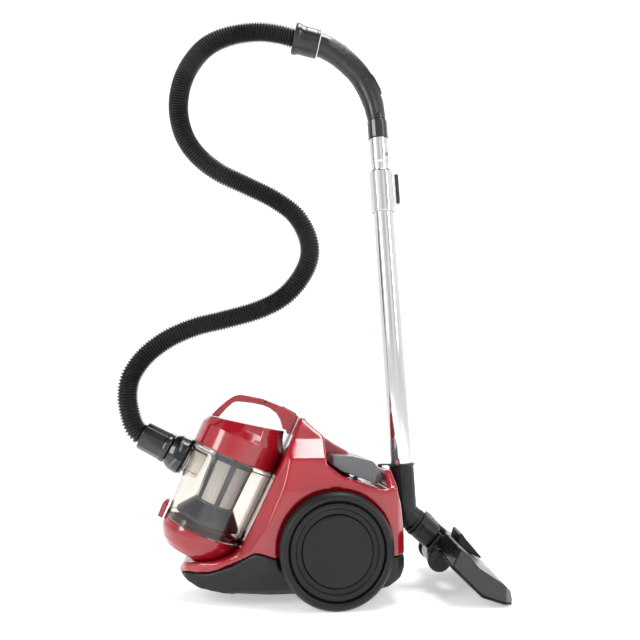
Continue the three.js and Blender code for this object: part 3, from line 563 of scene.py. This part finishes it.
# moulded shells
def remoulded(name, node, material, voxel=2.2, rounds=8, factor=0.5, crisp=60):
    # the CAD shell taken as clay: closed up on a fine grid of cells, then its edges and the
    # flats round its curves eased by averaging each point with its neighbours
    mesh = nodes[node].data.copy()
    work = bmesh.new()
    work.from_mesh(mesh)
    bmesh.ops.remove_doubles(work, verts=work.verts, dist=1e-5)
    work.to_mesh(mesh)
    work.free()
    draft = bpy.data.objects.new(name + "Draft", mesh)
    scene.collection.objects.link(draft)
    cells = draft.modifiers.new("cells", "REMESH")
    cells.mode = "VOXEL"
    cells.voxel_size = voxel * 0.001
    ease = draft.modifiers.new("ease", "SMOOTH")
    ease.factor = factor
    ease.iterations = rounds
    bpy.context.view_layer.update()
    made = bpy.data.meshes.new_from_object(draft.evaluated_get(bpy.context.evaluated_depsgraph_get()))
    bpy.data.objects.remove(draft)
    made.name = name
    made.materials.clear()
    made.materials.append(material)
    obj = bpy.data.objects.new(name, made)
    scene.collection.objects.link(obj)
    finishMesh(obj, crisp)
    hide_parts(node)
    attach(obj, nodes[node]["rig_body"])
    return obj


shells = [
    # piece, node, finish, cell, rounds
    ("housingShell", "upper_housing", redGloss, 2.1, 14),
    ("panShell", "base_pan", blackShell, 2.4, 10),
    ("handleArch", "carry_handle", redGloss, 1.1, 9),
    ("nozzleShell", "nozzle_housing", gripSatin, 1.7, 5),
    ("soleShell", "sole_plate", blackShell, 1.7, 2),
    ("powerKey", "power_pedal", greyPedal, 1.0, 4),
    ("rewindKey", "rewind_pedal", greyPedal, 1.0, 4),
    ("releaseKey", "bin_release_button", greyButton, 0.6, 3),
    ("latchLever", "flap_latch", redGloss, 0.7, 2),
    ("neckElbow", "nozzle_neck", blackShell, 1.2, 6),
    ("yokeFork", "nozzle_yoke", gripSatin, 1.2, 4),
    ("swivelRing", "swivel_collar", blackShell, 1.1, 5),
    ("nozzleKey", "nozzle_pedal", blackShell, 1.0, 3),
    ("collarSleeve", "telescope_collar", chromeTube, 0.9, 5),
    ("lockKey", "lock_button", blackGloss, 0.6, 3),
    ("casterFork", "caster_fork", blackShell, 0.9, 3),
    ("exhaustGrille", "exhaust_cover", blackShell, 1.0, 2),
    ("inletPort", "inlet_port", clearBin, 0.9, 3),
    ("sliderKey", "suction_slider", blackShell, 0.5, 2),
    ("gripSocket", "grip_socket", blackGloss, 0.8, 4),
]
for pieceName, nodeName, finish, cell, rounds in shells:
    shell = remoulded(pieceName, nodeName, finish, cell, rounds)
    print(pieceName, len(shell.data.polygons))
print("shells made")


# lid, bowl and cage
lid = {
    "profile": [(66.5, 122.4), (71.5, 122.4), (71.5, 156), (61, 178), (57, 194), (30, 194), (0, 194),
        (0, 158), (60, 158),
                (66.5, 148)],
    "facets": 12, "phase": 0.12, "planeAt": 179.4, "planeSlope": 0.1967,
}


def lidShape(radius, height, turn):
    # above the band the round gives way to flats: a regular polygon's distance from its middle
    part = 2 * math.pi / lid["facets"]
    flat = math.cos(part / 2) / np.cos((turn + lid["phase"]) % part - part / 2)
    share = np.clip((height - 156) / 14, 0, 1)
    return radius * (1 - share * (1 - flat))


lidLine = eased(lid["profile"], 1.4)
dense = [lidLine[0]]
for a, b in zip(lidLine, lidLine[1:]):
    count = max(1, int(np.linalg.norm(b - a) / 0.8))
    dense += [a + (b - a) * k / count for k in range(1, count + 1)]
lidLine = np.array(dense)
steps = 240
turn = np.arange(steps) * 2 * math.pi / steps
x, y, z = axes(dustBin["axis"])
radius = lidShape(np.repeat(lidLine[:, :1], steps, 1), np.repeat(lidLine[:, 1:], steps, 1), turn[None, :])
# a sloping plane trims the crown: no point stands above it
height = np.minimum(np.repeat(lidLine[:, 1:], steps, 1),
    lid["planeAt"] + lid["planeSlope"] * radius * np.cos(turn))
lidGrid = (radius * np.cos(turn))[..., None] * x + (radius * np.sin(turn))[..., None] * y + height[...,
    None] * z
lidPiece = gridPiece("binLid", place(lidGrid + np.array(dustBin["origin"], float)), redGloss, closeU=True,
    angle=22)
settle(lidPiece, "lid", "bin_lid", slot="red_plastic")
bowl = turnedPiece("dustBowl", dustBin["bowl"], dustBin["origin"], dustBin["axis"], redGloss, steps=160,
    ease=2.2)
settle(bowl, "flap", "bottom_flap", slot="red_plastic")
drum = turnedPiece("cageDrum", [(0, 8), (32.4, 8), (33, 44), (30.4, 44), (29.8, 11), (0, 11)],
    dustBin["origin"], dustBin["axis"],
                   navyPlastic, steps=96, ease=0.9)
settle(drum, "lid", "filter_cage", slot="navy_plastic")
crown = turnedPiece("cageCrown", [(33.6, 110), (36.5, 110), (37, 119), (37, 157.4), (34, 157.4), (34, 119)],
    dustBin["origin"],
                    dustBin["axis"], navyPlastic, steps=96, ease=0.9, closed=True)
settle(crown, "lid", slot="navy_plastic")


def cageBar(k):
    # an upright slat: a short arc of the cage's wall carried up its slope, with rounded sides
    up = np.linspace(*dustBin["barSpan"], 12)
    around = np.linspace(0, 2 * math.pi, 24, endpoint=False)
    angle = k * math.pi / 3 + dustBin["barTurn"] + np.sign(np.cos(around)) \
        * np.abs(np.cos(around)) ** 0.5 * dustBin["barHalf"]
    thick = dustBin["barThick"] * np.sign(np.sin(around)) * np.abs(np.sin(around)) ** 0.5
    r = (33.1 + (up[:, None] - 44) / 66 * 3.2 - 1.2) + thick[None, :]
    grid = (r * np.cos(angle))[..., None] * x + (r * np.sin(angle))[...,
        None] * y + (up[:, None] + 0 * r)[..., None] * z
    bar = gridPiece(f"cageBar{k}", place(grid + np.array(dustBin["origin"], float)), navyPlastic, angle=50,
        capEnds=True)
    return settle(bar, "lid", slot="navy_plastic")


for k in range(dustBin["bars"]):
    cageBar(k)
print("lid, bowl and cage made")


# grip
grip = {
    "route": [(89.9, 797.6), (87.6, 812), (82.4, 834), (59.6, 880.4), (24.3, 914.9), (6, 926.3),
        (-5, 931.7), (-9, 932.9),
              (-13.3, 933.85)],
    "radii": [(0, 15.7), (0.09, 17.2), (0.22, 18.4), (0.5, 19.2), (0.8, 19.8), (1, 20.2)],
    "ribs": 7, "ribFrom": 0.04, "ribTo": 0.93, "ribDepth": 1.0, "ribHalf": 0.46, "ribLean": 0.22,
    "seat": {"origin": (88.2, 0, 864.5), "out": (0.892, 0, 0.451), "half": (21, 9.8), "low": -6.5, "high": 1.4},
}
gripLine, gripRun = smoothLine([(x, 0, z) for x, z in grip["route"]], 220)
share = gripRun / gripRun[-1]
gripRadius = np.interp(share, [s for s, _ in grip["radii"]], [r for _, r in grip["radii"]])
sides = 288
turn = np.arange(sides) * 2 * math.pi / sides
# lengthwise ribs on both cheeks of the grip: a cosine of the turn inside a window that
# fades out at both ends of the inlay and at its upper and lower edges
fade = np.clip((share - grip["ribFrom"]) / 0.03, 0, 1) * np.clip((grip["ribTo"] - share) / 0.03, 0, 1)
cheek = np.where(np.sin(turn) > 0, turn - math.pi / 2, 1.5 * math.pi - turn) - grip["ribLean"]
window = np.clip((grip["ribHalf"] - np.abs(cheek)) / 0.05, 0, 1)
ribs = 0.5 - 0.5 * np.cos(cheek / grip["ribHalf"] * grip["ribs"] * math.pi)
gripGrid = tubeGrid(gripLine, gripRadius[:, None] - grip["ribDepth"] * fade[:,
    None] * (window * (0.35 + 0.65 * ribs))[None, :], sides)
gripPiece = gridPiece("gripHandle", place(gripGrid), gripSatin, angle=50, capEnds=True)
settle(gripPiece, "upper_wand", "grip", slot="black_plastic")


def roundedPad(name, origin, out, half, low, high, material, corner=0.35, rows=10):
    # a low pad: a superellipse outline whose size eases in near the top, stacked along out
    x, y, z = axes(out)
    angle = np.linspace(0, 2 * math.pi, 64, endpoint=False)
    outline = np.stack([np.sign(np.cos(angle)) * np.abs(np.cos(angle)) ** corner,
        np.sign(np.sin(angle)) * np.abs(np.sin(angle)) ** corner], 1)
    level = np.concatenate([[low], np.linspace(low, high, rows), [high]])
    size = np.sqrt(np.clip(1 - np.clip((level - high + 1.6) / 1.7, 0, 1) ** 2, 0.02, 1))
    size[0] = 0.001
    size[-1] = 0.001
    reach = np.stack([half[0] - 1.6 * (1 - size), half[1] - 1.6 * (1 - size)], 1)
    reach[0] = reach[-1] = 0
    grid = (outline[None, :, 0] * reach[:, :1])[..., None] * x + (outline[None, :, 1] * reach[:, 1:])[...,
        None] * y \
        + (level[:, None] + 0 * angle[None, :])[..., None] * z
    return gridPiece(name, place(grid + np.array(origin, float)), material, angle=40)


seat = grip["seat"]
pad = roundedPad("sliderSeat", seat["origin"], seat["out"], seat["half"], seat["low"], seat["high"], gripSatin)
settle(pad, "upper_wand", slot="black_plastic")
print("grip made")


# small trim on the body
trim = {
    "seam": {"spot": (-44.6, 0, 262.8), "half": (14, 18), "low": 0.3, "high": 3.4},
    "pin": {"spot": (-103.5, 0, 302.3), "radius": 2.1, "half": 11.35},
}
seam = trim["seam"]
gasket = roundedPad("footSeam", seam["spot"], (0.91914, 0, -0.39393), seam["half"], seam["low"],
    seam["high"], blackShell)
settle(gasket, "body", slot="black_plastic")
pin = trim["pin"]
knob = turnedPiece("handlePin", [(0, -pin["half"]), (pin["radius"], -pin["half"]),
    (pin["radius"], pin["half"]), (0, pin["half"])],
                   pin["spot"], (0, 1, 0), blackShell, side=(0, 0, 1), steps=32, ease=0.3)
settle(knob, "lid", slot="black_plastic")
port = turnedPiece("portFlange", [(18.6, 6.0), (28.4, 6.0), (28.9, 6.5), (28.9, 7.6), (28.4, 8.1),
    (18.6, 8.1)], inlet["origin"],
                   inlet["axis"], clearBin, steps=96, ease=0.4, closed=True)
settle(port, "bin", slot="clear_plastic")


chevronBand = {"reach": 0.85, "middle": 20, "rise": 6.5, "half": 2.1, "proud": 0.75, "sunk": 0.15,
    "thick": 0.0012}


def chevron(sign):
    # a raised lighter band bent to a shallow V round the connector: its middle line rises with
    # the angle from the side, and its section is a low cushion
    inletAxes = axes(inlet["axis"])
    angle = np.linspace(-chevronBand["reach"], chevronBand["reach"], 48)
    across = np.linspace(-1, 1, 9)
    height = chevronBand["middle"] + chevronBand["rise"] * np.abs(angle)[:,
        None] + chevronBand["half"] * across[None, :]
    r = np.interp(height, [11, 16.2, 19.5, 27, 29.6, 34.4], [30.2, 30.6, 30.1, 29.5, 28.6, 26.3])
    r = r + chevronBand["proud"] * np.sqrt(1 - across ** 2)[None, :] - chevronBand["sunk"]
    spin = sign * math.pi / 2 + angle[:, None] + 0 * across[None, :]
    grid = (r * np.cos(spin))[..., None] * inletAxes[0] + (r * np.sin(spin))[...,
        None] * inletAxes[1] + height[..., None] * inletAxes[2]
    band = gridPiece(("left" if sign < 0 else "right") + "Chevron", place(grid + np.array(inlet["origin"],
        float)), greyPedal, closeV=False)
    band.modifiers.new("thick", "SOLIDIFY").thickness = chevronBand["thick"]
    return settle(band, "bin", slot="grey_plastic")


chevron(-1)
chevron(1)
print("trim made")


# room
roomFacts = {
    "floor": 7.0, "curve": 2.5, "height": 6.0, "glow": 0.42, "wallFrom": (0.0, 1.2), "frontFrom": (3.0, 0.5),
    "bands": [(0.03, 0.3), (0.22, 1.0), (0.31, 0.06), (0.45, 0.06), (0.52, 1.1), (0.63, 0.9), (0.7, 0.05),
        (0.82, 0.1)],
}


def glowingRoomFinish():
    # pale all over, and glowing with painted light though it is no lamp; the wall in front of the object goes
    # from dim to bright in broad bands of painted light and shade, as in a studio whose far side is unlit
    made, tree, bsdf = shader("paleFloorPaintedGlow")
    grain = noiseAt(tree, 6, 4)
    ramp = tree.nodes.new("ShaderNodeValToRGB")
    ramp.color_ramp.elements[0].color = (0.9, 0.9, 0.9, 1)
    ramp.color_ramp.elements[1].color = (0.94, 0.94, 0.94, 1)
    tree.links.new(grain.outputs["Fac"], ramp.inputs["Fac"])
    tree.links.new(ramp.outputs["Color"], bsdf.inputs["Base Color"])
    bsdf.inputs["Roughness"].default_value = 0.9
    bsdf.inputs["Specular IOR Level"].default_value = 0.0
    coords = tree.nodes.new("ShaderNodeTexCoord")
    split = tree.nodes.new("ShaderNodeSeparateXYZ")
    tree.links.new(coords.outputs["Object"], split.inputs[0])
    reaches = []
    spans = (("X", -roomFacts["floor"], roomFacts["floor"]), ("Z", *roomFacts["wallFrom"]),
        ("Y", *roomFacts["frontFrom"]))
    for output, low, high in spans:
        reach = tree.nodes.new("ShaderNodeMapRange")
        reach.inputs["From Min"].default_value = low
        reach.inputs["From Max"].default_value = high
        tree.links.new(split.outputs[output], reach.inputs["Value"])
        reaches.append(reach)
    bands = tree.nodes.new("ShaderNodeValToRGB")
    for spot, tone in roomFacts["bands"]:
        stop = bands.color_ramp.elements.new(spot)
        stop.color = (tone, tone, tone, 1)
    tree.links.new(reaches[0].outputs[0], bands.inputs["Fac"])
    both = tree.nodes.new("ShaderNodeMath")
    both.operation = "MULTIPLY"
    tree.links.new(reaches[1].outputs[0], both.inputs[0])
    tree.links.new(reaches[2].outputs[0], both.inputs[1])
    mix = tree.nodes.new("ShaderNodeMix")
    mix.data_type = "RGBA"
    mix.inputs[6].default_value = (1, 1, 1, 1)
    tree.links.new(both.outputs[0], mix.inputs[0])
    tree.links.new(bands.outputs["Color"], mix.inputs[7])
    # painted light: the floor and wall emit this banded colour, so they glow though they are no lamp
    tree.links.new(mix.outputs[2], bsdf.inputs["Emission Color"])
    bsdf.inputs["Emission Strength"].default_value = roomFacts["glow"]
    return made


# one round floor whose rim curves up into a wall: a profile of distance and height turned about the upright axis
sweepIn = np.linspace(0, math.pi / 2, 17)
rimLine = [(0.0, 0.0), (1.0, 0.0), (3.0, 0.0)] + [(roomFacts["floor"] - roomFacts["curve"] * (1 - math.sin(t)),
            roomFacts["curve"] * (1 - math.cos(t))) for t in sweepIn] + [(roomFacts["floor"],
                roomFacts["height"])]
around = np.linspace(0, 2 * math.pi, 96, endpoint=False)
rim = np.array(rimLine)
floorGrid = np.stack([rim[:, :1] * np.cos(around), rim[:, :1] * np.sin(around), rim[:, 1:] + 0 * around], -1)
floor = gridPiece("studioFloor", floorGrid, glowingRoomFinish())


def softbox(name, spot, aim, size, power):
    data = bpy.data.lights.new(name, "AREA")
    data.shape = "RECTANGLE"
    data.size, data.size_y = size
    data.energy = power
    lamp = bpy.data.objects.new(name, data)
    lamp.location = spot
    lamp.rotation_euler = (Vector(aim) - Vector(spot)).to_track_quat("-Z", "Y").to_euler()
    scene.collection.objects.link(lamp)
    return lamp


lamps = {
    "topBox": {"spot": (0.55, -0.1, 2.5), "aim": (0, 0, 0.3), "size": (1.1, 0.8), "power": 30},
    "leftBox": {"spot": (-1.9, -1.2, 1.3), "aim": (-0.1, 0, 0.3), "size": (0.6, 1.6), "power": 24},
    "rightBox": {"spot": (1.7, -1.5, 1.4), "aim": (0.1, 0, 0.35), "size": (0.4, 1.6), "power": 15},
    "rearBox": {"spot": (0.6, 1.9, 1.8), "aim": (0, 0, 0.4), "size": (1.2, 0.7), "power": 14},
}
for lampName, lampFacts in lamps.items():
    softbox(lampName, lampFacts["spot"], lampFacts["aim"], lampFacts["size"], lampFacts["power"])

world = bpy.data.worlds.new("paleRoom")
world.use_nodes = True
# the room round the softboxes: bands of dim and bright from side to side, so that plated tubes read as round
skyFacts = {"strength": 0.42, "bands": [(0.0, 0.9), (0.3, 1.1), (0.37, 0.12), (0.47, 0.1), (0.53, 1.2),
    (0.66, 0.9), (0.72, 0.08), (0.8, 0.2)]}
sky = world.node_tree
skyCoords = sky.nodes.new("ShaderNodeTexCoord")
skySplit = sky.nodes.new("ShaderNodeSeparateXYZ")
skyReach = sky.nodes.new("ShaderNodeMapRange")
skyReach.inputs["From Min"].default_value = -1
skyRamp = sky.nodes.new("ShaderNodeValToRGB")
for spot, tone in skyFacts["bands"]:
    stop = skyRamp.color_ramp.elements.new(spot)
    stop.color = (tone, tone, tone, 1)
sky.links.new(skyCoords.outputs["Generated"], skySplit.inputs[0])
sky.links.new(skySplit.outputs["X"], skyReach.inputs["Value"])
sky.links.new(skyReach.outputs["Result"], skyRamp.inputs["Fac"])
sky.links.new(skyRamp.outputs["Color"], sky.nodes["Background"].inputs["Color"])
world.node_tree.nodes["Background"].inputs["Strength"].default_value = skyFacts["strength"]
scene.world = world
scene.view_settings.view_transform = "Standard"
print("room and lights made")
